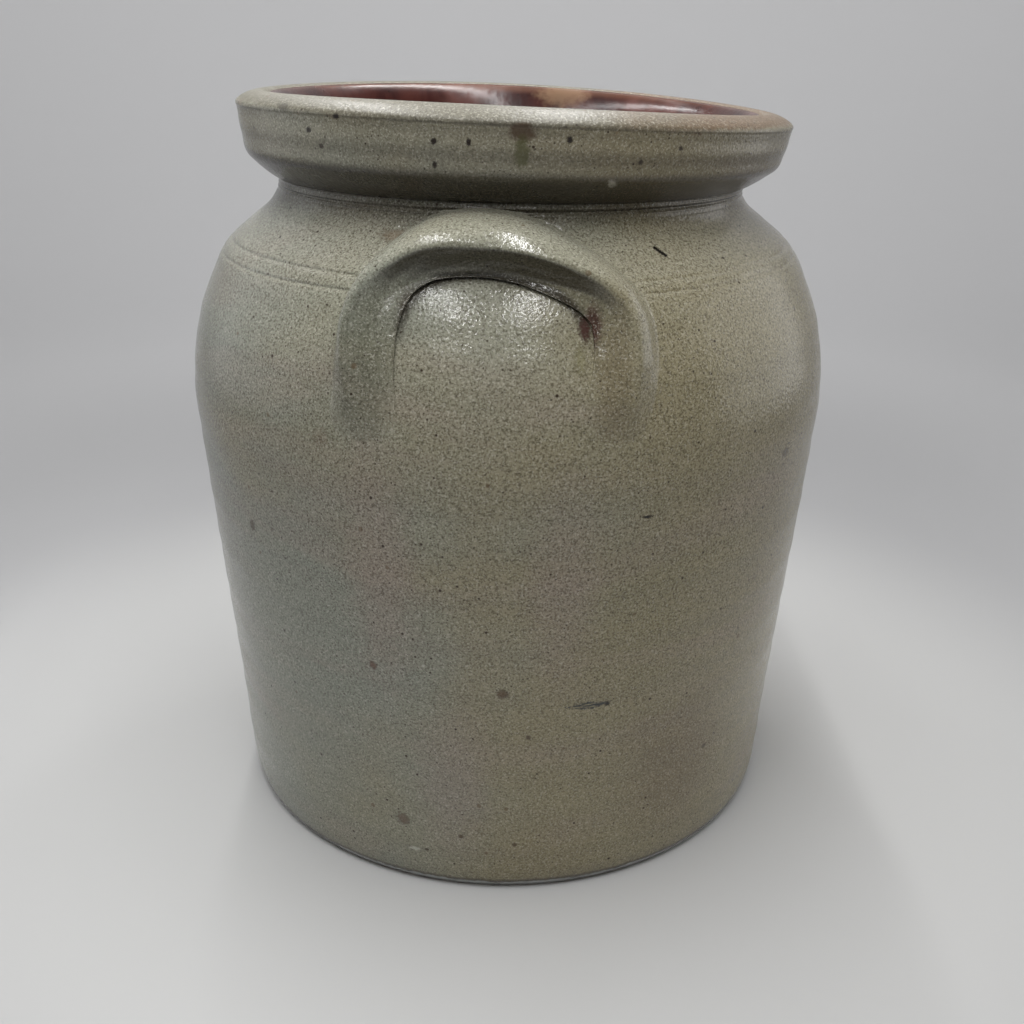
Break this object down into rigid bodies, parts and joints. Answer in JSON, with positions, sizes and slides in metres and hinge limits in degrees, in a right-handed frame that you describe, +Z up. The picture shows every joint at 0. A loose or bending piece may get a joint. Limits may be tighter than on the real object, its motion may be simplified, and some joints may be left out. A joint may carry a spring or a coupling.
{
  "type": "stoneware fermenting crock",
  "caption": "Open stoneware fermenting crock with a heavy rim, a horseshoe lug handle on each side of the shoulder and a glossy slip-glazed inside.",
  "frame": {"origin": "centre of the flat base, on the surface the crock stands on", "axes": "+Z up along the crock's axis, -Y towards the front handle, +X to the right seen from the front"},
  "size_m": [0.2694, 0.2694, 0.3025],
  "materials": {
    "body_salt_glaze": "salt-glazed grey-green to olive stoneware with fine iron speckle, thin orange-peel gloss",
    "rim_salt_glaze": "salt-glazed grey stoneware, buff and toasted on the wiped lip",
    "handle_salt_glaze": "salt-glazed grey stoneware with pulling marks",
    "brown_slip_glaze": "glossy maroon-brown slip glaze"
  },
  "bodies": {
    "root": {"crock_body": "body_salt_glaze", "rim_band": "rim_salt_glaze", "lug_handle_front": "handle_salt_glaze", "lug_handle_back": "handle_salt_glaze", "interior_slip_glaze": "brown_slip_glaze"}
  },
  "joints": []
}
